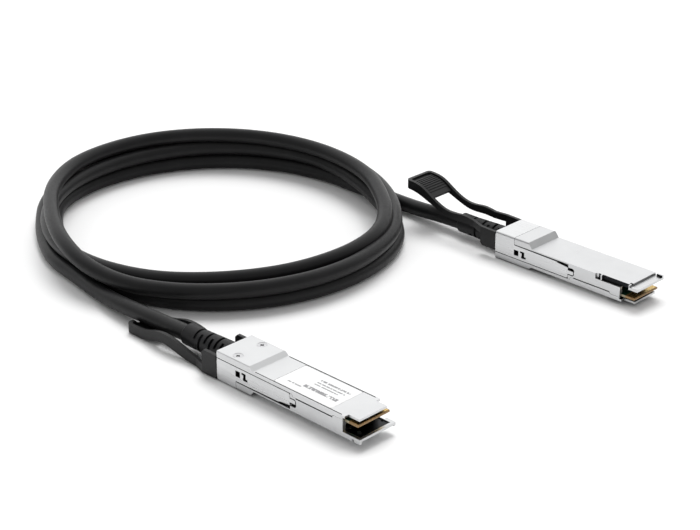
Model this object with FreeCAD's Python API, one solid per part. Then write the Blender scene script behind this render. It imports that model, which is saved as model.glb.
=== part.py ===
import FreeCAD
import Part
import math
import os

V = FreeCAD.Vector
os.makedirs("parts", exist_ok=True)

# ---------------------------------------------------------------------------
# Driving dimensions, mm.
# Plug frame: x forward from the rear face, y across, z towards the cover face.
# ---------------------------------------------------------------------------
PLUG_W = 18.35          # width over the side walls
PLUG_H = 8.5            # height of the insertion body
HALF_W = PLUG_W / 2
HALF_H = PLUG_H / 2
COVER_BUMP = 1.5        # raised step at the rear of the cover face
BASE_BUMP = 2.6         # raised step at the rear of the base face
COVER_TOP = HALF_H + COVER_BUMP
BASE_BOTTOM = -HALF_H - BASE_BUMP
BUMP_X = 18.2           # where both bumps start to slope down
SLOPE_X = 20.2          # where the slopes meet the flat faces
WALL_END = 66.8         # front end of the side walls
TONGUE_X = 73.1         # front end of the cover's tongue
TONGUE_W = 14.1
PLATFORM_X = 71.4       # front end of the base's thick platform
NOSE_X = 75.4           # front end of the base's nose plate
NOSE_TOP = -2.35        # upper face of the nose plate and of the front chamber's floor
LIP_X = 72.6            # where the nose plate's corner lips start
REBATE_X = 55.3         # rear end of the rebate along the base's left corner
REBATE_Y = 7.95
REBATE_Z = -1.9
SEAM_REAR = 2.9         # height of the seam beside the slider
SEAM_MID = 1.9          # height of the seam ahead of the slider
SEAM_FRONT = 2.5        # height of the seam at the front
SEAM_STEP_X = 41.3      # where the seam steps down
SEAM_RISE_X = 62.2      # where it rises to its front height
SEAM_GAP = 0.08
GROOVE = 0.45           # width and depth of the grooves along the cover and the seam
SKIN = 0.9              # cover plate thickness

# Inside of the two shells.
CHAMBER_X0 = 2.2        # back wall's inner face
CHAMBER_X1 = 17.4       # end of the deep rear chamber
NECK_X0 = 20.9          # narrow middle, with the spring pockets beside it
NECK_X1 = 37.0
CHAMBER_HALF = 7.2
NECK_HALF = 5.6
CARD_BAY_HALF = 8.1
REAR_FLOOR = -5.1
NECK_FLOOR = -2.9
SEAT_R = 4.3            # round seat of the boot in the back wall
COLLAR_SEAT_R = 4.0     # cradle of the crimp ferrule
BOSS_TOP_GAP = 0.05

SHEET = 0.5             # latch slider sheet
SHEET_GAP = 0.1
SLIDER_TOP = SEAM_REAR - 0.25         # upper edge of its sides, short of the cover
ARM_GAP = 0.4           # gap under its arms
SLIDER_BASE_X = 10.4    # front edge of the slider's base plate
ARM_END = 39.7          # front end of its arms
ARM_LOW = -3.3          # lower edge of its arms
CATCH_X = 42.6          # tip of the catch that stands off each arm
CATCH_LOW, CATCH_HIGH = -0.95, 0.65
WINDOW_X = 42.4         # front end of the window that the catch works in
SQUARE_WINDOW = (10.6, 12.7)
SPRING_X0, SPRING_X1 = 24.0, 35.2     # spring pockets
SPRING_LEN = 9.5
SPRING_Y = 7.6

CABLE_D = 6.8
CABLE_R = CABLE_D / 2
BOOT_LEN = 27.0
COLLAR_R = 4.45
CARD_TOP = 2.4
CARD_T = 1.0
CARD_X0, CARD_X1 = 45.5, 73.6
CARD_HALF = 8.0
PAD_X0, PAD_X1 = 69.6, 73.2
PAD_COUNT = 19          # contacts on each face of the card
PAD_PITCH = 0.8
PAD_W = 0.54
PAD_T = 0.05
PAIR_COUNT = 4          # flat pairs of wires on each face of the card
PAIR_PITCH = 1.8
PAIR_W = 1.6
PAIR_T = 0.75
PAIR_X0, PAIR_X1 = 12.4, 48.0
FERRULE_X0, FERRULE_X1 = 4.3, 12.2
FERRULE_R = 3.95
SCREW_X, SCREW_Y = 8.8, 6.15
SHANK_R = 0.95
HEAD_R = 1.95           # radius of the countersunk screw heads
HEAD_DROP = 0.13        # how far the heads lie below the cover's face
SLOT_COUNT = 6          # rows of slots in the boot
SLOT_PITCH = 3.0
SLOT_W = 1.3
LABEL_X0, LABEL_X1 = 30.5, 60.1
LABEL_HALF = 8.25
LABEL_SINK = 0.12       # depth of the label's recess

TAB_WALL = 1.45         # thickness of the tab's arms
PLATE_HALF = 9.4        # half width over the tab's side plates
ARM_HALF = 7.8          # half width over the arms and the grip
PLATE_X = -8.6          # rear edge of the side plates
TAPER_X = -14.0         # where the arms have come in to their own width
GRIP_X = -39.5          # front edge of the grip's web
WEB_DEPTH = 0.9         # depth of the ribbed recess in the grip
WEB_T = 0.8
RIB_PITCH = 1.25
RIB_COUNT = 8
RIB_W = 0.6
SADDLE_R = CABLE_R + 1.6    # hollow in the grip's end, which the cable lies in

# Where each plug sits: rear face centre, and whether it lies cover side up.
PLUG_A = (-9.0, 0.0, -BASE_BOTTOM)
PLUG_B = (-6.3, 159.7, COVER_TOP)

# Tab edges (x, z) in the plug frame: base-side edge, then cover-side edge.
# Plug A's tab is pressed flat by the surface it lies on, plug B's is relaxed.
TAB_A_BASE = [(-0.3, -6.4), (-6, -6.5), (-14, -6.5), (-20, -6.1), (-25, -5.2), (-30, -4.2),
              (-35, -3.8), (-39, -4.6), (-43, -5.9), (-48, -6.5), (-56, -6.5)]
TAB_A_COVER = [(-8.2, -3.1), (-13, -2.9), (-18, -2.1), (-23, -0.8), (-28, 0.3), (-33, 0.6),
               (-37, 0.1), (-41, -1.0), (-45, -2.1), (-50, -2.6), (-56, -2.5)]
TAB_B_BASE = [(-0.3, -6.3), (-6, -6.4), (-14, -7.0), (-20, -7.65), (-24.5, -7.2), (-29, -7.1),
              (-33, -8.0), (-37, -9.7), (-41.5, -12.2), (-46, -14.3), (-50, -15.0), (-54.5, -15.2)]
TAB_B_COVER = [(-8.2, -3.3), (-14, -3.9), (-20, -4.2), (-25, -3.9), (-29, -4.2), (-33.5, -5.4),
               (-38, -7.0), (-42, -8.5), (-46, -9.9), (-50, -10.8), (-54.5, -11.2)]
PLATE_TOP_A = 3.5
PLATE_TOP_B = 2.2

# Cable: the coil's outer shape and the route of the two leads (world frame).
COIL_C = (-114.0, 85.0)
COIL_R_OUT = 84.0
COIL_R_IN = 71.3
COIL_SHIFT = 4.0        # how far the coil's inner edge is off centre
COIL_AZ = 134.0         # direction of that shift, and of the coil's high side
COIL_TOP_LOW = 15.0
COIL_TOP_HIGH = 19.8


# ---------------------------------------------------------------------------
# Helpers
# ---------------------------------------------------------------------------
def box(x0, x1, y0, y1, z0, z1):
    return Part.makeBox(x1 - x0, y1 - y0, z1 - z0, V(x0, y0, z0))


def sym_box(x0, x1, half, z0, z1):
    return box(x0, x1, -half, half, z0, z1)


def cyl_x(x0, x1, r, y=0.0, z=0.0):
    return Part.makeCylinder(r, x1 - x0, V(x0, y, z), V(1, 0, 0))


def cyl_z(z0, z1, r, x, y):
    return Part.makeCylinder(r, z1 - z0, V(x, y, z0), V(0, 0, 1))


def cyl_y(y0, y1, r, x, z):
    return Part.makeCylinder(r, y1 - y0, V(x, y0, z), V(0, 1, 0))


def both_sides(shape):
    other = shape.mirror(V(0, 0, 0), V(0, 1, 0))
    return [shape, other]


def prism_y(points, y0, y1):
    """Polygon given as (x, z) points, extruded from y0 to y1."""
    loop = [V(x, y0, z) for x, z in points]
    loop.append(loop[0])
    return Part.Face(Part.makePolygon(loop)).extrude(V(0, y1 - y0, 0))


def union(shapes):
    result = shapes[0]
    if len(shapes) > 1:
        result = shapes[0].fuse(shapes[1:])
    return result.removeSplitter()


def cut(shape, tools):
    return shape.cut(tools).removeSplitter()


def along_x(a, b):
    return abs(a.y - b.y) < 0.01 and abs(a.z - b.z) < 0.01


def edges_where(shape, test):
    found = []
    for edge in shape.Edges:
        a = edge.Vertexes[0].Point
        b = edge.Vertexes[-1].Point
        if test(a, b):
            found.append(edge)
    return found


def soften(shape, radius, test):
    """Round the edges the test picks; keep the shape if that fails."""
    edges = edges_where(shape, test)
    if not edges:
        print("  no edges to round")
        return shape
    try:
        rounded = shape.makeFillet(radius, edges)
        if rounded.isValid():
            return rounded
    except Exception as problem:
        print("  rounding failed:", problem)
    return shape


def place_a(shape):
    moved = shape.copy()
    moved.translate(V(*PLUG_A))
    return moved


def place_b(shape):
    moved = shape.copy()
    moved.rotate(V(0, 0, 0), V(1, 0, 0), 180)
    moved.translate(V(*PLUG_B))
    return moved


def export(name, shape):
    print("%-18s solids %d valid %s volume %.2f" % (name, len(shape.Solids), shape.isValid(), shape.Volume))
    shape.exportStep("parts/%s.step" % name)


# ---------------------------------------------------------------------------
# Base shell: floor, side walls, rear bump, nose plate
# ---------------------------------------------------------------------------
def base_outline():
    """Side view of the base, below the stepped seam."""
    return [(0, BASE_BOTTOM), (BUMP_X, BASE_BOTTOM), (SLOPE_X, -HALF_H), (PLATFORM_X, -HALF_H),
            (PLATFORM_X, NOSE_TOP - 1), (NOSE_X, NOSE_TOP - 1), (NOSE_X, NOSE_TOP), (WALL_END, NOSE_TOP),
            (WALL_END, SEAM_FRONT), (SEAM_RISE_X, SEAM_FRONT), (SEAM_RISE_X - 0.5, SEAM_MID),
            (SEAM_STEP_X, SEAM_MID), (SEAM_STEP_X - 0.5, SEAM_REAR), (0, SEAM_REAR)]


def make_base():
    body = prism_y(base_outline(), -HALF_W, HALF_W)
    body = soften(body, 0.8, lambda a, b: along_x(a, b) and abs(a.z - BASE_BOTTOM) < 0.01)
    lips = [box(LIP_X, NOSE_X, -HALF_W, -8.2, -HALF_H, NOSE_TOP),
            box(LIP_X, NOSE_X, 8.2, HALF_W, -HALF_H + 0.5, NOSE_TOP)]
    body = union([body] + lips)

    top = SEAM_REAR + 1
    hollows = [
        sym_box(CHAMBER_X0, CHAMBER_X1, CHAMBER_HALF, REAR_FLOOR, top),
        sym_box(CHAMBER_X1 - 0.1, NECK_X0 + 0.1, CHAMBER_HALF, NECK_FLOOR, top),
        sym_box(NECK_X0, NECK_X1, NECK_HALF, NECK_FLOOR, top),
        sym_box(NECK_X1 - 0.1, WALL_END + 1, CHAMBER_HALF + 0.1, NOSE_TOP, top),
        sym_box(CARD_X0 - 1, WALL_END + 1, CARD_BAY_HALF, CARD_TOP - CARD_T, top),
        sym_box(66.0, 74.2, 7.6, NOSE_TOP - 0.4, 0),   # shallow pan in the nose
        box(70.2, 71.6, 6.4, 7.4, BASE_BOTTOM, 0),     # square hole in the nose
        cyl_x(-1, 3, SEAT_R),                          # half-round seat for the boot
        sym_box(-1, 3, SEAT_R, 0, top),
    ]
    body = cut(body, hollows)

    # Recess that the slider's base plate and side plates run in.
    wrap = SHEET + SHEET_GAP
    core = sym_box(-2, SLIDER_BASE_X + 1, HALF_W - wrap, BASE_BOTTOM + wrap, 9)
    core = soften(core, 0.5, lambda a, b: along_x(a, b) and a.z < 0)
    recess = cut(sym_box(-1, SLIDER_BASE_X + 0.15, HALF_W + 1, BASE_BOTTOM - 1, 4), [core])
    arms = both_sides(box(SLIDER_BASE_X, ARM_END + 0.2, HALF_W - wrap, HALF_W + 1, ARM_LOW - ARM_GAP, 4))
    body = cut(body, [recess] + arms)

    # Pockets for the springs, behind the slider's windows, under its arms and for its catches.
    deep = 7.9
    catch_r = 1.1
    pockets = both_sides(box(SPRING_X0, SPRING_X1, 6.5, HALF_W, -1.5, 1.5))
    pockets += both_sides(box(10.0, CHAMBER_X1, SPRING_Y, HALF_W, -1.7, 1.7))
    pockets += both_sides(box(33.6, ARM_END + 0.2, deep, HALF_W, ARM_LOW - ARM_GAP, -2.0))
    catch = [box(ARM_END, WINDOW_X, deep, HALF_W + 1, -2.3, catch_r)]
    for z in (0.0, -1.2):
        catch.append(cyl_y(deep, HALF_W + 1, catch_r, WINDOW_X - 0.4, z))
    pockets += both_sides(union(catch))

    # Groove along the seam, and the rebate along one corner.
    pockets += both_sides(box(WINDOW_X + 0.5, SEAM_RISE_X - 0.6, HALF_W - GROOVE, HALF_W + 1,
                              SEAM_MID - GROOVE, SEAM_MID + 1))
    pockets.append(box(REBATE_X, PLATFORM_X - 0.4, REBATE_Y, HALF_W + 1, -HALF_H - 1, REBATE_Z))
    pockets.append(cyl_z(-HALF_H - 1, REBATE_Z, 1.2, REBATE_X, HALF_W))
    body = cut(body, pockets)

    # Rib in the rebate, cradle under the ferrule, screw posts, dimple in the nose.
    sunk = REAR_FLOOR - 0.1
    fittings = [box(56.6, 57.2, REBATE_Y - 0.1, HALF_W - 0.25, -HALF_H, REBATE_Z + 0.1)]
    fittings.append(sym_box(5.0, 11.0, CHAMBER_HALF + 0.1, sunk, -0.2))
    for side in (-1, 1):
        fittings.append(cyl_z(sunk, SEAM_REAR - BOSS_TOP_GAP, 1.6, SCREW_X, side * SCREW_Y))
    fittings.append(cyl_z(NOSE_TOP - 0.45, NOSE_TOP - 0.1, 0.8, 70.9, -4.9))
    body = union([body] + fittings)
    pilots = [cyl_z(-1.3, 4, SHANK_R + 0.02, SCREW_X, side * SCREW_Y) for side in (-1, 1)]
    pilots.append(cyl_x(CHAMBER_X0 - 0.2, FERRULE_X1 + 0.8, COLLAR_SEAT_R))
    return cut(body, pilots)


# ---------------------------------------------------------------------------
# Cover shell: plate, skirts, rear bump, tongue
# ---------------------------------------------------------------------------
def make_cover():
    g = SEAM_GAP
    rise_x = SEAM_RISE_X - 0.2
    step_x = SEAM_STEP_X + 0.1
    outline = [(0, COVER_TOP), (BUMP_X, COVER_TOP), (SLOPE_X, HALF_H), (WALL_END, HALF_H),
               (WALL_END, SEAM_FRONT + g), (rise_x, SEAM_FRONT + g), (rise_x - 0.5, SEAM_MID + g),
               (step_x, SEAM_MID + g), (step_x - 0.5, SEAM_REAR + g), (0, SEAM_REAR + g)]
    body = prism_y(outline, -HALF_W, HALF_W)
    body = soften(body, 0.5, lambda a, b: along_x(a, b) and abs(a.z - COVER_TOP) < 0.01)
    under = HALF_H - SKIN
    tongue = sym_box(WALL_END - 1, TONGUE_X, TONGUE_W / 2, under, HALF_H)
    ears = both_sides(box(WALL_END - 1, WALL_END + 1, TONGUE_W / 2 - 1, HALF_W, under, HALF_H))
    body = union([body, tongue] + ears)
    hollows = [
        sym_box(CHAMBER_X0, CHAMBER_X1 + 0.2, CHAMBER_HALF, 0, COVER_TOP - 1),
        sym_box(CHAMBER_X1, NECK_X1, CHAMBER_HALF, 0, under),
        sym_box(NECK_X1 - 0.1, WALL_END + 0.01, CARD_BAY_HALF, 0, under),
    ]
    body = cut(body, hollows)

    # Rear tongue that closes the boot's seat, and the two screw bosses.
    saddle = sym_box(0, CHAMBER_X0 - 0.1, SEAT_R - 0.1, 0.1, SEAM_REAR + 0.2)
    bosses = [cyl_z(SEAM_REAR + g, COVER_TOP - 0.5, 1.9, SCREW_X, side * SCREW_Y) for side in (-1, 1)]
    body = union([body, saddle] + bosses)
    body = cut(body, [cyl_x(-1, 3, SEAT_R)])

    holes = []
    hole_r = SHANK_R + 0.1
    sink = 0.9
    for side in (-1, 1):
        y = side * SCREW_Y
        holes.append(cyl_z(2, 7, hole_r, SCREW_X, y))
        holes.append(Part.makeCone(hole_r, HEAD_R + 0.2, sink, V(SCREW_X, y, COVER_TOP - sink)))
    groove_y = HALF_W - 0.25
    holes += both_sides(box(SLOPE_X + 0.8, WALL_END - 0.8, groove_y - GROOVE, groove_y,
                            HALF_H - GROOVE, HALF_H + 1))
    holes.append(sym_box(LABEL_X0 - 0.1, LABEL_X1 + 0.1, LABEL_HALF + 0.1, HALF_H - LABEL_SINK, HALF_H + 1))
    return cut(body, holes)


# ---------------------------------------------------------------------------
# Latch slider: one folded sheet with a base plate and two spring-loaded arms
# ---------------------------------------------------------------------------
def make_slider():
    outer = sym_box(0.0, SLIDER_BASE_X, HALF_W, BASE_BOTTOM, SLIDER_TOP)
    outer = soften(outer, 0.9, lambda a, b: along_x(a, b) and a.z < 0)
    inner = sym_box(-1, 20, HALF_W - SHEET, BASE_BOTTOM + SHEET, 9)
    inner = soften(inner, 0.4, lambda a, b: along_x(a, b) and a.z < 0)
    channel = cut(outer, [inner])

    # Each side: the arm with its catch, the finger the spring pushes on, the tail the tab is moulded on.
    arm_x = SLIDER_BASE_X - 1
    finger_x = SPRING_X1 - 1.2
    inner_y = HALF_W - SHEET
    arm_side = [(arm_x, ARM_LOW), (33.5, -3.0), (34.0, -2.7), (ARM_END, -2.1), (ARM_END, CATCH_LOW),
                (CATCH_X - 0.3, CATCH_LOW), (CATCH_X, CATCH_LOW + 0.3), (CATCH_X, CATCH_HIGH - 0.3),
                (CATCH_X - 0.3, CATCH_HIGH), (ARM_END, CATCH_HIGH),
                (ARM_END, SLIDER_TOP - 0.5), (ARM_END - 0.5, SLIDER_TOP), (arm_x, SLIDER_TOP)]
    pieces = [channel]
    pieces += both_sides(prism_y(arm_side, inner_y, HALF_W))
    pieces += both_sides(box(finger_x, finger_x + SHEET, 6.9, inner_y, -1.2, 1.2))
    pieces += both_sides(box(-6.0, 1.0, inner_y, HALF_W, -5.4, 1.4))
    body = union(pieces)

    # A square window and a stepped one in each side, turned half round from side to side.
    y0, y1 = HALF_W - 2, HALF_W + 1
    left = union([box(*SQUARE_WINDOW, y0, y1, -1.1, 1.1),
                  box(14.9, 15.9, y0, y1, -1.4, 1.4),
                  box(14.0, 15.2, y0, y1, -1.4, -0.8),
                  box(14.7, 16.8, y0, y1, 0.7, 1.4)])
    right = left.copy()
    right.rotate(V(0, 0, 0), V(1, 0, 0), 180)
    # Holes in the tails, which the tab is moulded through.
    holes = [cyl_y(-y1, y1, 0.7, -3.2, z) for z in (-3.6, -0.4)]
    return cut(body, [left, right] + holes)


# ---------------------------------------------------------------------------
# Moulded pull tab: side plates, two bent arms, ribbed grip
# ---------------------------------------------------------------------------
def edge_curve(points, dz=0.0):
    curve = Part.BSplineCurve()
    curve.interpolate([V(x, 0, z + dz) for x, z in points])
    return curve.toShape()


def strip(base_pts, cover_pts, half):
    """Solid between a base-side and a cover-side edge curve, from -half to +half."""
    low = edge_curve(base_pts)
    high = edge_curve(cover_pts)
    start = Part.makeLine(V(base_pts[0][0], 0, base_pts[0][1]), V(cover_pts[0][0], 0, cover_pts[0][1]))
    end = Part.makeLine(V(base_pts[-1][0], 0, base_pts[-1][1]), V(cover_pts[-1][0], 0, cover_pts[-1][1]))
    wire = Part.Wire(Part.__sortEdges__([low, end, high, start]))
    face = Part.Face(wire)
    face.translate(V(0, -half, 0))
    return face.extrude(V(0, 2 * half, 0))


def shifted(points, dz):
    return [(x, z + dz) for x, z in points]


def plan_outline(end, inset, end_radius):
    """Upright solid with the tab's outline seen from above, drawn in by inset."""
    wide = PLATE_HALF - inset
    narrow = ARM_HALF - inset
    end += inset
    outline = [(5, -wide), (PLATE_X, -wide), (TAPER_X, -narrow), (end, -narrow),
               (end, narrow), (TAPER_X, narrow), (PLATE_X, wide), (5, wide), (5, -wide)]
    face = Part.Face(Part.makePolygon([V(x, y, -30) for x, y in outline]))
    solid = face.extrude(V(0, 0, 60))
    return soften(solid, end_radius, lambda a, b: abs(a.x - end) < 0.01 and abs(b.x - end) < 0.01
                  and abs(a.y - b.y) < 0.01)


def make_tab(base_pts, cover_pts, plate_top, slider):
    end = base_pts[-1][0]
    outside = plan_outline(end, 0.0, 2.0)
    inside = plan_outline(end, TAB_WALL, 1.2)
    start_x, start_z = base_pts[0]
    plate = prism_y([(start_x, start_z), (PLATE_X, base_pts[1][1] - 0.1), (PLATE_X, plate_top - 1.2),
                     (PLATE_X + 1.2, plate_top), (start_x, plate_top)], -PLATE_HALF, PLATE_HALF)
    frame = union([strip(base_pts, cover_pts, PLATE_HALF), plate]).common(outside)
    frame = cut(frame, [inside])

    # The grip's web lies in a recess behind the rim and carries ribs across it.
    span = inside.common(sym_box(end, GRIP_X, PLATE_HALF, -30, 20))
    web_base = shifted(base_pts, WEB_DEPTH)
    web = strip(web_base, shifted(web_base, WEB_T), PLATE_HALF).common(span)
    bars = []
    for i in range(RIB_COUNT):
        x = GRIP_X - 2.6 - i * RIB_PITCH
        bars.append(sym_box(x - RIB_W / 2, x + RIB_W / 2, ARM_HALF - TAB_WALL - 0.7, -30, 20))
    ribs = strip(shifted(base_pts, WEB_DEPTH - 0.35), shifted(web_base, 0.3), PLATE_HALF)
    ribs = ribs.common(Part.makeCompound(bars))

    saddle = cyl_x(end - 1, GRIP_X, SADDLE_R, z=0.15)
    tab = union([frame, web] + ribs.Solids)
    return cut(tab, [slider, saddle])


# ---------------------------------------------------------------------------
# Springs, screws, card, contacts, wires, ferrule, boot, label
# ---------------------------------------------------------------------------
def make_springs():
    turns = 4.5
    radius = 0.75
    half_wire = 0.15
    lo = radius - half_wire
    hi = radius + half_wire
    section = Part.makePolygon([V(lo, 0, -half_wire), V(hi, 0, -half_wire), V(hi, 0, half_wire),
                                V(lo, 0, half_wire), V(lo, 0, -half_wire)])
    springs = []
    for side in (-1, 1):
        helix = Part.makeHelix(SPRING_LEN / turns, SPRING_LEN, radius)
        coil = Part.Wire(helix).makePipeShell([section], True, True)
        coil.rotate(V(0, 0, 0), V(0, 1, 0), 90)
        coil.translate(V(SPRING_X0 + 0.25, side * SPRING_Y, 0))
        springs.append(coil)
    return Part.makeCompound(springs)


def make_screws():
    screws = []
    head_h = 0.8
    head_top = COVER_TOP - HEAD_DROP
    cross_z = COVER_TOP - 0.7
    for side in (-1, 1):
        y = side * SCREW_Y
        head = Part.makeCone(SHANK_R, HEAD_R, head_h, V(SCREW_X, y, head_top - head_h))
        shank = cyl_z(-1.0, head_top - 0.6, SHANK_R, SCREW_X, y)
        screw = union([head, shank])
        cross = [box(SCREW_X - 0.9, SCREW_X + 0.9, y - 0.25, y + 0.25, cross_z, COVER_TOP),
                 box(SCREW_X - 0.25, SCREW_X + 0.25, y - 0.9, y + 0.9, cross_z, COVER_TOP)]
        screws.append(cut(screw, cross))
    return Part.makeCompound(screws)


def make_card():
    card = sym_box(CARD_X0, CARD_X1, CARD_HALF, CARD_TOP - CARD_T, CARD_TOP)
    notches = both_sides(box(49.5, 51.0, CARD_HALF - 0.6, CARD_HALF + 1, -1, 4))
    card = cut(card, notches)
    chamfer = edges_where(card, lambda a, b: abs(a.x - CARD_X1) < 0.01 and abs(b.x - CARD_X1) < 0.01
                          and abs(a.z - b.z) < 0.01)
    return card.makeChamfer(0.25, chamfer)


def make_contacts():
    pads = []
    for i in range(PAD_COUNT):
        y = (i - (PAD_COUNT - 1) / 2) * PAD_PITCH
        for z in (CARD_TOP, CARD_TOP - CARD_T - PAD_T):
            pads.append(box(PAD_X0, PAD_X1, y - PAD_W / 2, y + PAD_W / 2, z, z + PAD_T))
    return Part.makeCompound(pads)


def make_pairs():
    pairs = []
    top = CARD_TOP + 0.02
    low = CARD_TOP - CARD_T - 0.02
    flat_x = PAIR_X1 - 3.4
    start = 0.4
    upper = [(PAIR_X0, start), (flat_x, top), (PAIR_X1, top), (PAIR_X1, top + PAIR_T),
             (flat_x, top + PAIR_T), (PAIR_X0, start + PAIR_T)]
    lower = [(PAIR_X0, -start), (PAIR_X0, -start - PAIR_T), (flat_x, low - PAIR_T),
             (PAIR_X1, low - PAIR_T), (PAIR_X1, low), (flat_x, low)]
    for i in range(PAIR_COUNT):
        y = (i - (PAIR_COUNT - 1) / 2) * PAIR_PITCH
        for outline in (upper, lower):
            pairs.append(prism_y(outline, y - PAIR_W / 2, y + PAIR_W / 2))
    return Part.makeCompound(pairs)


def make_ferrule():
    tube = cyl_x(FERRULE_X0, FERRULE_X1, FERRULE_R)
    bore = cyl_x(FERRULE_X0 - 0.3, FERRULE_X1 - 0.3, CABLE_R + 0.05)
    mouth = cyl_x(FERRULE_X1 - 1, FERRULE_X1 + 1, 2.9)
    grooves = []
    for x in (6.2, 8.2, 10.2):
        ring = cyl_x(x - 0.3, x + 0.3, 5).cut(cyl_x(x - 1, x + 1, FERRULE_R - 0.2))
        grooves.append(ring)
    return cut(tube, [bore, mouth] + grooves)


def make_boot():
    bore = CABLE_R + 0.05
    profile = [(4.0, 4.7), (2.5, 4.7), (2.5, 4.2), (-0.3, 4.2), (-0.3, 4.9), (-1.0, 5.05),
               (-19.0, COLLAR_R), (-BOOT_LEN + 0.6, COLLAR_R), (-BOOT_LEN, COLLAR_R - 0.5),
               (-BOOT_LEN, bore), (4.0, bore)]
    loop = [V(x, 0, r) for x, r in profile]
    loop.append(loop[0])
    boot = Part.Face(Part.makePolygon(loop)).revolve(V(0, 0, 0), V(1, 0, 0), 360)

    # Slots that let it bend, above and below on one row, left and right on the next.
    slots = []
    core = cyl_x(-30, 5, CABLE_R + 0.4)
    for i in range(SLOT_COUNT):
        x = -4.0 - SLOT_PITCH * i
        pair = both_sides(box(x - SLOT_W / 2, x + SLOT_W / 2, 1.9, 7.0, -7, 7))
        for slot in pair:
            if i % 2:
                slot.rotate(V(0, 0, 0), V(1, 0, 0), 90)
            slots.append(slot.cut(core))
    return cut(boot, slots)


def make_label():
    label = sym_box(LABEL_X0, LABEL_X1, LABEL_HALF, HALF_H - LABEL_SINK, HALF_H - 0.02)
    return soften(label, 0.8, lambda a, b: abs(a.x - b.x) < 0.01 and abs(a.y - b.y) < 0.01)


# ---------------------------------------------------------------------------
# Cable: the coil as one ring, and the two straight leads
# ---------------------------------------------------------------------------
def make_coil():
    az = math.radians(COIL_AZ)
    cx, cy = COIL_C
    sx, sy = cx + COIL_SHIFT * math.cos(az), cy + COIL_SHIFT * math.sin(az)
    outer = Part.makeCylinder(COIL_R_OUT, 30, V(cx, cy, 0))
    outer = outer.makeFillet(3.0, [e for e in outer.Edges if e.BoundBox.ZMax < 0.1])
    inner = Part.makeCylinder(COIL_R_IN, 40, V(sx, sy, -5))
    ring = outer.cut(inner)
    # Top face sloping down from the far side of the coil to the near side.
    tilt = math.degrees(math.atan2(COIL_TOP_HIGH - COIL_TOP_LOW, 2 * COIL_R_OUT))
    lid = Part.makeBox(400, 400, 60, V(-200, -200, 0))
    lid.rotate(V(0, 0, 0), V(0, 1, 0), -tilt)
    lid.rotate(V(0, 0, 0), V(0, 0, 1), COIL_AZ)
    lid.translate(V(cx, cy, (COIL_TOP_HIGH + COIL_TOP_LOW) / 2))
    return ring.cut(lid)


def route_tube(points, radius):
    """Tube along straight runs joined by tangent arcs."""
    pts = [V(*p) for p in points]
    edges = []
    radii = []
    last = pts[0]
    for i in range(1, len(pts) - 1):
        before = pts[i] - pts[i - 1]
        after = pts[i + 1] - pts[i]
        run = min(before.Length, after.Length)
        before.normalize()
        after.normalize()
        half = before.getAngle(after) / 2
        trim = 0.45 * run
        bend = trim / math.tan(half)
        radii.append(bend)
        a = pts[i] - before * trim
        b = pts[i] + after * trim
        sag = bend / math.cos(half) - bend
        inward = after - before
        inward.normalize()
        mid = pts[i] + inward * sag
        edges.append(Part.LineSegment(last, a).toShape())
        edges.append(Part.Arc(a, mid, b).toShape())
        last = b
    edges.append(Part.LineSegment(last, pts[-1]).toShape())
    path = Part.Wire(edges)
    start = pts[1] - pts[0]
    section = Part.Wire(Part.makeCircle(radius, pts[0], start))
    tube = path.makePipeShell([section], True, False)
    ideal = math.pi * radius * radius * path.Length
    print("  route length %.1f, volume ratio %.4f, radii %s" % (
        path.Length, tube.Volume / ideal, ", ".join("%.0f" % r for r in radii)))
    return tube


ax, ay, az0 = PLUG_A
bx, by, bz0 = PLUG_B
LEAD_A = [(ax + 11.6, ay, az0), (ax - 12.0, ay, az0), (ax - 44.0, ay + 0.1, az0 - 0.05),
          (ax - 66.0, ay + 0.9, az0 - 1.65), (ax - 87.0, ay + 3.6, 3.8), (ax - 108.0, ay + 7.6, 3.4)]
LEAD_B = [(bx + 11.6, by, bz0), (bx - 12.0, by, bz0), (bx - 40.0, by + 0.1, bz0 - 0.05),
          (bx - 60.0, by + 0.9, 4.0), (bx - 82.0, by + 1.8, 3.45), (bx - 104.0, by + 2.4, 3.4)]


# ---------------------------------------------------------------------------
# Build everything
# ---------------------------------------------------------------------------
slider = make_slider()
shared = {
    "base_shell": make_base(),
    "cover_shell": make_cover(),
    "latch_slider": slider,
    "return_springs": make_springs(),
    "cover_screws": make_screws(),
    "paddle_card": make_card(),
    "edge_contacts": make_contacts(),
    "wire_pairs": make_pairs(),
    "crimp_ferrule": make_ferrule(),
    "strain_relief": make_boot(),
    "label": make_label(),
}
for name, shape in shared.items():
    export(name + "_a", place_a(shape))
    export(name + "_b", place_b(shape))

tab_a = make_tab(TAB_A_BASE, TAB_A_COVER, PLATE_TOP_A, slider)
tab_b = make_tab(TAB_B_BASE, TAB_B_COVER, PLATE_TOP_B, slider)
export("pull_tab_a", place_a(tab_a))
export("pull_tab_b", place_b(tab_b))

coil = make_coil()
export("cable_coil", coil)
for name, route in (("cable_lead_a", LEAD_A), ("cable_lead_b", LEAD_B)):
    tube = route_tube(route, CABLE_R)
    outside = tube.cut(coil)
    # Keep the one piece that reaches the plug.
    pieces = sorted(outside.Solids, key=lambda s: s.Volume)
    export(name, pieces[-1])
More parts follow.
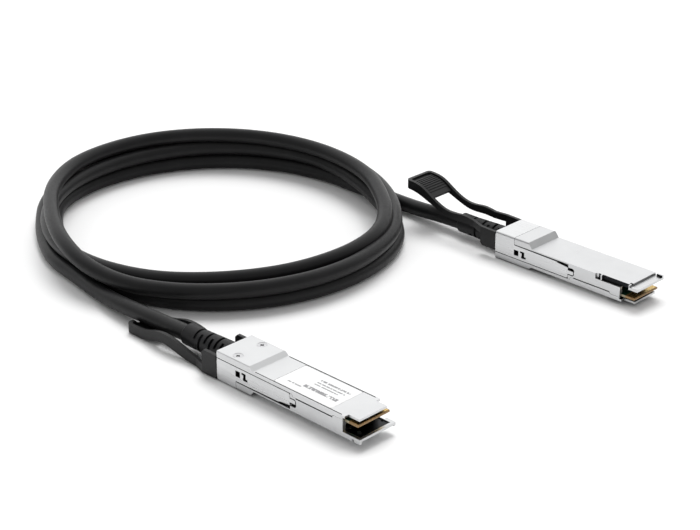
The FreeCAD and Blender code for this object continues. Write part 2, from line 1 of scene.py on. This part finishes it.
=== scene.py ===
import bpy
import math
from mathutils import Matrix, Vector


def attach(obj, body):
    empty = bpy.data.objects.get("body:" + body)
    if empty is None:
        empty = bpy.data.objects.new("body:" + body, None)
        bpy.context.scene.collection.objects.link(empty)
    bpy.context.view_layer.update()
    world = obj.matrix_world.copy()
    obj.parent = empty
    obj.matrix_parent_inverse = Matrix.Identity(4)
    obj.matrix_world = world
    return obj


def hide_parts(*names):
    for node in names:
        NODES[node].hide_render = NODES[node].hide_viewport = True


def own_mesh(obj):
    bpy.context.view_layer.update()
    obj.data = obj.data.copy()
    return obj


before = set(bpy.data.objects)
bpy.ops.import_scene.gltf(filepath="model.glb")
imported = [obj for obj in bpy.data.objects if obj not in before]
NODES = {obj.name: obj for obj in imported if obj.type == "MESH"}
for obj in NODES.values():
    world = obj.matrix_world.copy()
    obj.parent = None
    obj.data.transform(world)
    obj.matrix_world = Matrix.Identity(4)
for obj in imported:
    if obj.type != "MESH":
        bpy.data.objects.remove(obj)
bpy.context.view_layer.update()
MM = 0.001
ENDS = ("a", "b")

# ---------------------------------------------------------------------------
# Places of the plugs and the cable, mm
# ---------------------------------------------------------------------------
# These repeat the part's own values.
PLUG_A = (-9.0, 0.0, 6.85)         # origin of plug A's frame, on its rear face; cover up
PLUG_B = (-6.3, 159.7, 5.75)       # the same of plug B, which is turned cover down
CABLE_D = 6.8
COIL_C = (-114.0, 85.0)

# Route of the two leads, from inside each boot towards the coil, within 1 mm of the part's tubes.
LEAD_A = [(-18.0, 0.0, 6.85), (-34.0, 0.0, 6.8), (-50.0, 0.0, 6.2), (-66.0, 0.0, 5.7), (-81.0, 0.7, 4.65),
          (-98.0, 3.2, 3.6), (-117.0, 7.0, 3.4)]
LEAD_B = [(-18.0, 159.7, 5.75), (-30.0, 159.7, 5.7), (-44.0, 159.8, 5.3), (-64.3, 160.5, 3.6),
          (-88.3, 161.3, 3.41), (-108.0, 161.6, 3.4)]

# Stations along the coil, set against the photograph: (degrees walked round the coil's centre,
# radius, height of the centreline). The cable runs clockwise: left, far, right, near, and round again.
STATIONS = [
    # first turn: off the surface at the near left, then over the lower turns
    (-106, 77.7, 3.4), (-120, 77, 3.4), (-130, 77.5, 3.8), (-147, 81.8, 6.2), (-168, 83.6, 9.4),
    (-222, 85.4, 9.8), (-250, 85, 9.8), (-264, 83.6, 10), (-278, 80.6, 10.2), (-296, 78.3, 10.4),
    (-316, 79, 10.2), (-332, 81.4, 10.1), (-368, 83.6, 9.8), (-418, 83, 9.5),
    # second turn: climbs at the near left, lies on top past the far side, comes down at the right
    (-430, 83, 10), (-442, 82, 12.5), (-454, 79, 15.5), (-466, 75, 16.6), (-484, 73, 16.8),
    (-500, 75, 16.7), (-532, 81, 16.4), (-558, 81.7, 16.4), (-640, 72.8, 16.2), (-672, 72.8, 15.8),
    (-694, 78.2, 13.8), (-704, 78.2, 12.5), (-734, 73.2, 10.3), (-758, 72.5, 10.2), (-784, 75, 10.2),
    # third turn: in the middle layer, then down to the surface at the far right
    (-814, 75.6, 10.2), (-846, 75, 10.2), (-880, 77.3, 10), (-940, 78.8, 10), (-976, 77.2, 10),
    (-1003, 73.5, 8.8), (-1023, 76.8, 4), (-1034, 79.7, 3.4), (-1048, 82, 3.4), (-1060, 82.5, 3.4),
    # last turn: on the surface all the way to the lead of plug B
    (-1104, 82, 3.4), (-1140, 80, 3.4), (-1180, 70.6, 3.4), (-1206, 70.6, 3.4), (-1234, 78.2, 3.4),
    (-1245, 78.8, 3.4), (-1344, 76.6, 3.4),
]
STEP_DEG = 14.0                    # about this far apart lie the control points round the coil

# ---------------------------------------------------------------------------
# Places that a material treats on its own: the chambers, the rebate wall and the lip face get painted
# shade, the nose pan a painted reflection, and the card's front end its bare colour.
# Each is a box (x0, x1, y0, y1, z0, z1) in the plug frame, mm: x forward from the rear face, y across, z
# towards the cover.
# ---------------------------------------------------------------------------
REAR_CHAMBER = (2, 17.5, -7.65, 7.65, -6, 3)
FRONT_CHAMBER = (37, 66.5, -8.15, 8.15, -2.36, 2.6)
NOSE_PAN = (66, 74.2, -7.6, 7.6, -2.8, -2.7)           # floor of the shallow pan in the nose plate, painted dark as the card's reflection
REBATE = (55.0, 71.1, 7.9, 8.0, -4.2, -1.8)            # upright wall of the rebate along a corner, in painted shade
LIP_FACE = (72.4, 75.5, -8.25, -8.15, -4.3, -2.3)      # inner face of the other corner's lip, in painted shade
CONTACT_ZONE = (68.9, 74.0, -8.1, 8.1, 1.2, 2.6)       # the card's front end, bare round the contacts

# A little more than the square and the stepped window in a slider's arm, (x0, x1, z0, z1), where painted
# shade darkens the cut edges, and the span in y that holds the arm.
ARM_WINDOWS = ((10.4, 12.9, -1.25, 1.25), (14.7, 16.1, -1.5, 1.5),
               (13.8, 15.3, 0.7, 1.55), (14.5, 17.0, -1.55, -0.6))
ARM_SPAN = (7, 9.3)

# Rows of dashes on the label, (x0, x1, y0, y1), and the film's span in z.
DASH_ROWS = ((43.0, 58.0, 3.4, 4.4), (43.0, 57.0, 1.6, 2.3), (43.0, 55.0, 0.1, 0.7),
             (41.0, 58.0, -3.8, -2.0), (34.0, 41.0, -4.9, -4.2))
FILM_SPAN = (4, 5)

# ---------------------------------------------------------------------------
# Studio, metres and degrees
# ---------------------------------------------------------------------------
FLOOR_SIZE = 6.0
FLOOR_DROP = 0.0002                # the floor lies this far under the cable and the plugs
SOFTBOX = (-0.64, 0.64, 0.42)      # towards the large softbox behind the object
SURROUND = (0.46, 1.38)            # strength away from the softbox and in it
SOFTBOX_EDGE = (0.26, 0.74)        # where its light starts and is full
KEY_ENERGY = 1.65
KEY_WIDTH_DEG = 32
KEY_AIM = (0.36, -0.46, -1.0)
CAMERA_AT = (0.44428, -0.39979, 0.3239)
CAMERA_DIP_DEG = 24.82
CAMERA_HEADING_DEG = 44.42
CAMERA_LENS = 91.67
SENSOR_WIDTH = 36.0

# A Mix node's sockets in colour mode, which share their names with those of its other modes.
MIX_FACTOR = 0
MIX_A = 6
MIX_B = 7
MIX_RESULT = 2

# Painted shade: the colour painted into the castings' shaded boxes, and the one painted round the windows'
# cut edges.
GAP_SHADE = (0.016, 0.017, 0.019)
CUT_EDGE_SHADE = (0.03, 0.03, 0.032)

# A noise lies mostly between these two values.
NOISE_LOW = 0.3
NOISE_HIGH = 0.7


# ---------------------------------------------------------------------------
# Material helpers
# ---------------------------------------------------------------------------
def new_material(name, color, rough, metallic=0.0, **sockets):
    mat = bpy.data.materials.new(name)
    mat.use_nodes = True
    shader = mat.node_tree.nodes["Principled BSDF"]
    shader.inputs["Base Color"].default_value = (*color, 1.0)
    shader.inputs["Roughness"].default_value = rough
    shader.inputs["Metallic"].default_value = metallic
    for key, value in sockets.items():
        shader.inputs[key.replace("_", " ")].default_value = value
    return mat, mat.node_tree, shader


def object_coords(tree, scale=(1.0, 1.0, 1.0)):
    coords = tree.nodes.new("ShaderNodeTexCoord")
    mapping = tree.nodes.new("ShaderNodeMapping")
    mapping.inputs["Scale"].default_value = scale
    tree.links.new(coords.outputs["Object"], mapping.inputs["Vector"])
    return mapping.outputs["Vector"]


def noise(tree, vector, scale, detail=3.0, roughness=0.5):
    node = tree.nodes.new("ShaderNodeTexNoise")
    node.inputs["Scale"].default_value = scale
    node.inputs["Detail"].default_value = detail
    node.inputs["Roughness"].default_value = roughness
    tree.links.new(vector, node.inputs["Vector"])
    return node.outputs["Fac"]


def spread(tree, value, low, high, from_low=NOISE_LOW, from_high=NOISE_HIGH):
    """The value, stretched from one range to another."""
    node = tree.nodes.new("ShaderNodeMapRange")
    node.inputs["From Min"].default_value = from_low
    node.inputs["From Max"].default_value = from_high
    node.inputs["To Min"].default_value = low
    node.inputs["To Max"].default_value = high
    tree.links.new(value, node.inputs["Value"])
    return node.outputs["Result"]


def two_tone(tree, value, dark, light):
    ramp = tree.nodes.new("ShaderNodeValToRGB")
    ramp.color_ramp.elements[0].position = NOISE_LOW
    ramp.color_ramp.elements[0].color = (*dark, 1.0)
    ramp.color_ramp.elements[1].position = NOISE_HIGH
    ramp.color_ramp.elements[1].color = (*light, 1.0)
    tree.links.new(value, ramp.inputs["Fac"])
    return ramp.outputs["Color"]


def bump(tree, shader, height, strength, distance):
    node = tree.nodes.new("ShaderNodeBump")
    node.inputs["Strength"].default_value = strength
    node.inputs["Distance"].default_value = distance
    tree.links.new(height, node.inputs["Height"])
    tree.links.new(node.outputs["Normal"], shader.inputs["Normal"])


def with_painted_shade(tree, color, reach, least):
    """The colour with painted shade: darkened in gaps and corners up to reach metres deep, at most to the
    least share.
    """
    occlusion = tree.nodes.new("ShaderNodeAmbientOcclusion")
    occlusion.samples = 12
    occlusion.inputs["Distance"].default_value = reach
    light_left = spread(tree, occlusion.outputs["AO"], least, 1.0, from_low=0.25, from_high=0.8)
    mix = tree.nodes.new("ShaderNodeMix")
    mix.data_type = "RGBA"
    mix.blend_type = "MULTIPLY"
    mix.inputs[MIX_FACTOR].default_value = 1.0
    tree.links.new(color, mix.inputs[MIX_A])
    tree.links.new(light_left, mix.inputs[MIX_B])
    return mix.outputs[MIX_RESULT]


def math_node(tree, operation, a, b):
    node = tree.nodes.new("ShaderNodeMath")
    node.operation = operation
    for socket, value in zip(node.inputs, (a, b)):
        if isinstance(value, float):
            socket.default_value = value
        else:
            tree.links.new(value, socket)
    return node.outputs["Value"]


def between(tree, value, low, high):
    """1 where the value lies between the two limits, else 0."""
    node = tree.nodes.new("ShaderNodeMath")
    node.operation = "COMPARE"
    node.inputs[1].default_value = (low + high) / 2
    node.inputs[2].default_value = (high - low) / 2
    tree.links.new(value, node.inputs[0])
    return node.outputs["Value"]


def in_boxes(tree, boxes):
    """1 inside any of the plug-frame boxes of either plug, else 0."""
    split = tree.nodes.new("ShaderNodeSeparateXYZ")
    tree.links.new(object_coords(tree), split.inputs["Vector"])
    total = None
    for x0, x1, y0, y1, z0, z1 in boxes:
        for (px, py, pz), flip in ((PLUG_A, 1), (PLUG_B, -1)):
            spans = [(px + x0, px + x1), (py + flip * y0, py + flip * y1), (pz + flip * z0, pz + flip * z1)]
            inside = None
            for axis, span in zip("XYZ", spans):
                here = between(tree, split.outputs[axis], min(span) * MM, max(span) * MM)
                inside = here if inside is None else math_node(tree, "MULTIPLY", inside, here)
            total = inside if total is None else math_node(tree, "MAXIMUM", total, inside)
    return total


def blended(tree, factor, first, second):
    """Mix of two colours, each a socket or a plain colour."""
    mix = tree.nodes.new("ShaderNodeMix")
    mix.data_type = "RGBA"
    tree.links.new(factor, mix.inputs[MIX_FACTOR])
    for socket, value in ((mix.inputs[MIX_A], first), (mix.inputs[MIX_B], second)):
        if isinstance(value, tuple):
            socket.default_value = (*value, 1.0)
        else:
            tree.links.new(value, socket)
    return mix.outputs[MIX_RESULT]


def window_edges():
    """Boxes round the windows' cut edges, where shade is painted. The windows are turned half round from
    arm to arm.
    """
    boxes = []
    for side in (-1, 1):
        for x0, x1, z0, z1 in ARM_WINDOWS:
            boxes.append((x0, x1, ARM_SPAN[0] * side, ARM_SPAN[1] * side, -side * z0, -side * z1))
    return boxes


# ---------------------------------------------------------------------------
# Materials
# ---------------------------------------------------------------------------
def cast_metal(name, dark, light, rough, shaded=()):
    """Nickel-plated die casting: faint mottling and fine grain, with painted shade in gaps and corners and
    inside the shaded boxes.
    """
    mat, tree, shader = new_material(name, light, rough, metallic=1.0)
    where = object_coords(tree)
    broad = noise(tree, where, scale=90.0)
    fine = noise(tree, where, scale=1800.0, detail=4.0)
    color = with_painted_shade(tree, two_tone(tree, broad, dark, light), reach=0.0028, least=0.03)
    if shaded:
        color = blended(tree, in_boxes(tree, shaded), color, GAP_SHADE)
    tree.links.new(color, shader.inputs["Base Color"])
    tree.links.new(spread(tree, broad, rough - 0.05, rough + 0.07), shader.inputs["Roughness"])
    bump(tree, shader, fine, strength=0.10, distance=0.00005)
    return mat


def rolled_metal(name, dark, light, rough, shaded=()):
    """Sheet, wire or plating with a faint grain along its length, with painted shade in gaps and corners
    and inside the shaded boxes.
    """
    mat, tree, shader = new_material(name, light, rough, metallic=1.0)
    where = object_coords(tree, (30.0, 900.0, 900.0))
    grain = noise(tree, where, scale=2.0, detail=4.0)
    color = with_painted_shade(tree, two_tone(tree, grain, dark, light), reach=0.0010, least=0.03)
    if shaded:
        color = blended(tree, in_boxes(tree, shaded), color, CUT_EDGE_SHADE)
    tree.links.new(color, shader.inputs["Base Color"])
    tree.links.new(spread(tree, grain, rough - 0.05, rough + 0.08), shader.inputs["Roughness"])
    bump(tree, shader, grain, strength=0.06, distance=0.00004)
    return mat


def moulded(name, dark, light, rough, grain_scale, grain_depth, gloss=0.5):
    """Moulded rubber or plastic with a fine spark-eroded grain."""
    mat, tree, shader = new_material(name, light, rough, Specular_IOR_Level=gloss)
    where = object_coords(tree)
    broad = noise(tree, where, scale=60.0)
    fine = noise(tree, where, scale=grain_scale, detail=5.0, roughness=0.6)
    tree.links.new(two_tone(tree, broad, dark, light), shader.inputs["Base Color"])
    tree.links.new(spread(tree, fine, rough - 0.06, rough + 0.08), shader.inputs["Roughness"])
    bump(tree, shader, fine, strength=0.25, distance=grain_depth)
    return mat


def label_film():
    """White film with faint grey rows of dashes, which aren't words."""
    mat, tree, shader = new_material("label_film", (0.86, 0.86, 0.86), 0.42)
    fibre = noise(tree, object_coords(tree), scale=900.0)
    paper = two_tone(tree, fibre, (0.78, 0.78, 0.78), (0.84, 0.84, 0.84))
    rows = in_boxes(tree, [row + FILM_SPAN for row in DASH_ROWS])
    dashes = noise(tree, object_coords(tree, (900.0, 500.0, 0.0)), scale=1.0, detail=1.0)
    ink = math_node(tree, "MULTIPLY", rows, spread(tree, dashes, 0.0, 0.8, from_low=0.40, from_high=0.47))
    tree.links.new(blended(tree, ink, paper, (0.10, 0.10, 0.11)), shader.inputs["Base Color"])
    bump(tree, shader, fibre, strength=0.05, distance=0.00002)
    return mat


def circuit_board():
    """Dark green solder mask over a pale laminate that shows at the edges, bare at the front end, with
    painted shade in gaps and corners.
    """
    mat, tree, shader = new_material("circuit_board", (0.02, 0.10, 0.05), 0.35)
    geometry = tree.nodes.new("ShaderNodeNewGeometry")
    split = tree.nodes.new("ShaderNodeSeparateXYZ")
    tree.links.new(geometry.outputs["True Normal"], split.inputs["Vector"])
    flat = math_node(tree, "ABSOLUTE", split.outputs["Z"], 0.0)
    where = object_coords(tree)
    weave = noise(tree, where, scale=700.0)
    mask = two_tone(tree, weave, (0.008, 0.045, 0.022), (0.014, 0.070, 0.035))
    edge = two_tone(tree, weave, (0.34, 0.30, 0.20), (0.46, 0.41, 0.28))
    board = blended(tree, flat, edge, mask)
    bare = two_tone(tree, noise(tree, where, scale=1500.0), (0.16, 0.085, 0.025), (0.42, 0.25, 0.09))
    color = blended(tree, in_boxes(tree, [CONTACT_ZONE]), board, bare)
    tree.links.new(with_painted_shade(tree, color, reach=0.002, least=0.35), shader.inputs["Base Color"])
    bump(tree, shader, weave, strength=0.05, distance=0.00003)
    return mat


MATERIALS = {
    "base_shell": cast_metal(
        "shell_base", (0.56, 0.565, 0.57), (0.62, 0.625, 0.63), 0.32,
        shaded=[REAR_CHAMBER, FRONT_CHAMBER, NOSE_PAN, REBATE, LIP_FACE]),
    "cover_shell": cast_metal("shell_cover", (0.60, 0.605, 0.61), (0.66, 0.665, 0.67), 0.34),
    "latch_slider": rolled_metal(
        "slider_sheet", (0.60, 0.605, 0.61), (0.68, 0.685, 0.69), 0.30, shaded=window_edges()),
    "return_springs": rolled_metal("spring_wire", (0.40, 0.40, 0.41), (0.6, 0.6, 0.61), 0.3),
    "cover_screws": rolled_metal("screw_steel", (0.50, 0.50, 0.51), (0.60, 0.60, 0.61), 0.30),
    "paddle_card": circuit_board(),
    "edge_contacts": rolled_metal("gold_plate", (0.62, 0.42, 0.13), (0.86, 0.63, 0.26), 0.24),
    "wire_pairs": moulded(
        "wire_jacket", (0.55, 0.57, 0.60), (0.66, 0.68, 0.70), 0.5,
        grain_scale=900.0, grain_depth=0.00004),
    "crimp_ferrule": rolled_metal("ferrule_brass", (0.50, 0.40, 0.20), (0.68, 0.55, 0.30), 0.33),
    "strain_relief": moulded(
        "boot_rubber", (0.006, 0.006, 0.0065), (0.010, 0.010, 0.011), 0.50,
        grain_scale=1500.0, grain_depth=0.00006, gloss=0.28),
    "pull_tab": moulded(
        "tab_plastic", (0.007, 0.007, 0.0075), (0.011, 0.011, 0.0115), 0.42,
        grain_scale=1300.0, grain_depth=0.00005, gloss=0.25),
    "label": label_film(),
}


def dress_nodes():
    """Gives each plug's nodes their materials. Their meshes stay as the part made them."""
    for name, mat in MATERIALS.items():
        for end in ENDS:
            node = NODES[name + "_" + end]
            node.data.materials.clear()
            node.data.materials.append(mat)


# ---------------------------------------------------------------------------
# The cable: one spline through both leads and the coil's turns
# ---------------------------------------------------------------------------
def station_at(walked):
    """Radius and height between two stations, halfway between a straight and a smooth step."""
    for (a0, r0, z0), (a1, r1, z1) in zip(STATIONS, STATIONS[1:]):
        if a1 <= walked <= a0:
            t = (a0 - walked) / (a0 - a1)
            ease = t * t * (3 - 2 * t)
            share = 0.5 * (t + ease)
            return r0 + (r1 - r0) * share, z0 + (z1 - z0) * share
    raise ValueError("azimuth outside the coil")


def coil_points():
    first, last = STATIONS[0][0], STATIONS[-1][0]
    count = round((first - last) / STEP_DEG)
    points = []
    for i in range(count + 1):
        walked = first + (last - first) * i / count
        radius, height = station_at(walked)
        # Control points of a curved run lie a little outside the curve.
        outside = radius / math.cos(math.radians(STEP_DEG) / 2)
        angle = math.radians(walked)
        x = COIL_C[0] + outside * math.cos(angle)
        y = COIL_C[1] + outside * math.sin(angle)
        points.append((x, y, height))
    return points


def make_cable():
    route = LEAD_A + coil_points() + LEAD_B[::-1]
    curve = bpy.data.curves.new("cable", "CURVE")
    curve.dimensions = "3D"
    spline = curve.splines.new("NURBS")
    spline.points.add(len(route) - 1)
    for point, (x, y, z) in zip(spline.points, route):
        point.co = (x * MM, y * MM, z * MM, 1.0)
    spline.order_u = 3
    spline.use_endpoint_u = True
    spline.resolution_u = 6
    curve.bevel_depth = CABLE_D / 2 * MM
    curve.bevel_resolution = 7
    curve.use_fill_caps = True
    curve.materials.append(moulded(
        "cable_jacket", (0.010, 0.010, 0.0105), (0.015, 0.015, 0.0155), 0.42,
        grain_scale=1100.0, grain_depth=0.00005, gloss=0.2))
    cable = bpy.data.objects.new("cable", curve)
    bpy.context.scene.collection.objects.link(cable)
    return cable


# ---------------------------------------------------------------------------
# Floor, light, camera
# ---------------------------------------------------------------------------
def make_floor():
    bpy.ops.mesh.primitive_plane_add(size=FLOOR_SIZE, location=(0, 0, -FLOOR_DROP))
    floor = bpy.context.object
    floor.name = "floor"
    paper = new_material("floor_paper", (0.93, 0.93, 0.93), 0.9, Specular_IOR_Level=0.1)[0]
    floor.data.materials.append(paper)


def make_world():
    """Even white surroundings, brighter where a large softbox stands behind the object."""
    world = bpy.data.worlds.new("studio")
    world.use_nodes = True
    tree = world.node_tree
    background = tree.nodes["Background"]
    background.inputs["Color"].default_value = (1.0, 1.0, 1.0, 1.0)
    coords = tree.nodes.new("ShaderNodeTexCoord")
    facing = tree.nodes.new("ShaderNodeVectorMath")
    facing.operation = "DOT_PRODUCT"
    facing.inputs[1].default_value = SOFTBOX
    tree.links.new(coords.outputs["Generated"], facing.inputs[0])
    strength = spread(tree, facing.outputs["Value"], *SURROUND, *SOFTBOX_EDGE)
    tree.links.new(strength, background.inputs["Strength"])
    bpy.context.scene.world = world


def make_key_light():
    """A wide soft key. Glossy rays don't see it, because it would burn out the metal's upper faces."""
    light = bpy.data.lights.new("key", "SUN")
    light.energy = KEY_ENERGY
    light.angle = math.radians(KEY_WIDTH_DEG)
    lamp = bpy.data.objects.new("key", light)
    lamp.rotation_euler = Vector(KEY_AIM).to_track_quat("-Z", "Y").to_euler()
    lamp.visible_glossy = False
    bpy.context.scene.collection.objects.link(lamp)


def make_camera():
    lens = bpy.data.cameras.new("camera")
    lens.sensor_width = SENSOR_WIDTH
    lens.sensor_fit = "HORIZONTAL"
    lens.lens = CAMERA_LENS
    camera = bpy.data.objects.new("camera", lens)
    camera.location = CAMERA_AT
    camera.rotation_euler = (math.radians(90 - CAMERA_DIP_DEG), 0.0, math.radians(CAMERA_HEADING_DEG))
    bpy.context.scene.collection.objects.link(camera)
    bpy.context.scene.camera = camera


# ---------------------------------------------------------------------------
# The scene
# ---------------------------------------------------------------------------
dress_nodes()

cable = make_cable()
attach(cable, "plugs_and_cable")
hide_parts("cable_coil", "cable_lead_a", "cable_lead_b")

# The springs shorten against the back of their pockets as the slider's fingers come towards them; here each
# plug's springs only get a mesh of their own.
for plug, end in zip((PLUG_A, PLUG_B), ENDS):
    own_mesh(NODES["return_springs_" + end])

make_floor()
make_world()
make_key_light()
make_camera()
# The photograph's floor is pure white, and this transform keeps it so.
bpy.context.scene.view_settings.view_transform = "Standard"
